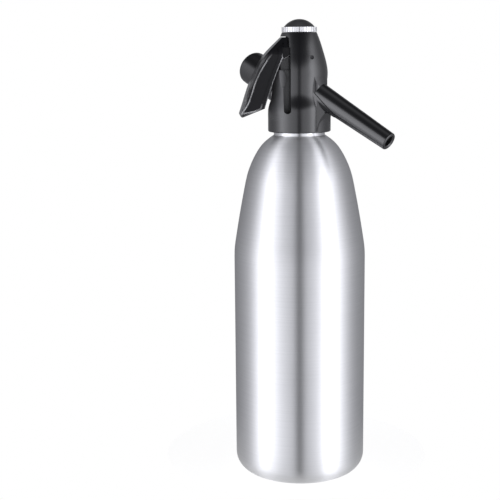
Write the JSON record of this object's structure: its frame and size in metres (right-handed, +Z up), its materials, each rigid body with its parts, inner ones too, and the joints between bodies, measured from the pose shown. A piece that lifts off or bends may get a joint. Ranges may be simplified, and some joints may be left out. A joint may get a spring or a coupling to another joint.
{
  "type": "soda siphon",
  "caption": "Soda siphon: a bullet-shaped aluminium bottle under a black head with a squeeze lever, a slanting spout, a charger holder and a domed screw cap.",
  "frame": {"origin": "centre of the bottle's round foot, on the surface it stands on", "axes": "+Z up along the bottle's axis; the lever hangs on the -X side and its hinge pin lies along Y; the spout points down toward +X -Y and the charger holder up toward -X +Y"},
  "size_m": [0.1031, 0.1182, 0.3133],
  "materials": {
    "bottle_aluminium": "fine satin, spun and brushed round its axis",
    "head_plastic": "glossy moulded black",
    "lever_plastic": "glossy black lacquer over a cast lever",
    "cap_plastic": "satin black dome",
    "ring_chrome": "bright with upright ribs",
    "pin_steel": "blackened steel rod",
    "insert_brass": "machined brass under satin nickel plate",
    "valve_brass": "turned",
    "stem_steel": "ground",
    "spring_steel": "drawn wire",
    "seal_rubber": "matt black",
    "washer_rubber": "matt black",
    "tube_plastic": "translucent white",
    "button_plastic": "dark grey",
    "charger_steel": "zinc-plated steel bulb"
  },
  "bodies": {
    "bottle": {"bottle": "bottle_aluminium"},
    "head": {"head_body": "head_plastic", "neck_insert": "insert_brass", "head_gasket": "seal_rubber", "lever_pin": "pin_steel", "cap_seal": "seal_rubber", "return_spring": "spring_steel", "gland_nut": "valve_brass", "stem_seal": "seal_rubber", "valve_spring": "spring_steel", "riser_nut": "valve_brass", "riser_tube": "tube_plastic", "measuring_tube": "tube_plastic", "spout": "head_plastic", "spout_seal": "seal_rubber", "holder_ring": "seal_rubber", "charger_seal": "seal_rubber", "piercing_pin": "stem_steel", "check_valve": "washer_rubber"},
    "lever": {"lever": "lever_plastic"},
    "stem": {"valve_stem": "stem_steel", "stem_button": "button_plastic", "valve_washer": "washer_rubber", "valve_nut": "valve_brass"},
    "holder": {"charger_holder": "head_plastic", "co2_charger": "charger_steel"},
    "cap": {"top_cap": "cap_plastic", "cap_ring": "ring_chrome"}
  },
  "joints": [
    {"name": "head_lift", "type": "slide", "parent": "bottle", "child": "head", "axis": [0, 0, 1], "range_m": [0, 0.245]},
    {"name": "lever_press", "type": "hinge", "parent": "head", "child": "lever", "pos_m": [0.007, 0, 0.2881], "axis": [0, -1, 0], "range_deg": [0, 10], "stiffness_Nm_per_rad": 1.2, "springref_deg": -8.59},
    {"name": "stem_press", "type": "slide", "parent": "head", "child": "stem", "axis": [0, 0, -1], "range_m": [0, 0.0014], "deforming": ["return_spring", "valve_spring"]},
    {"name": "holder_out", "type": "slide", "parent": "head", "child": "holder", "axis": [-0.5307, 0.7579, 0.3795], "range_m": [0, 0.09]},
    {"name": "cap_lift", "type": "slide", "parent": "head", "child": "cap", "axis": [0, 0, 1], "range_m": [0, 0.03]}
  ],
  "couplings": [
    {"joint": "stem_press", "follows": "lever_press", "m_per_rad": 0.0074}
  ]
}
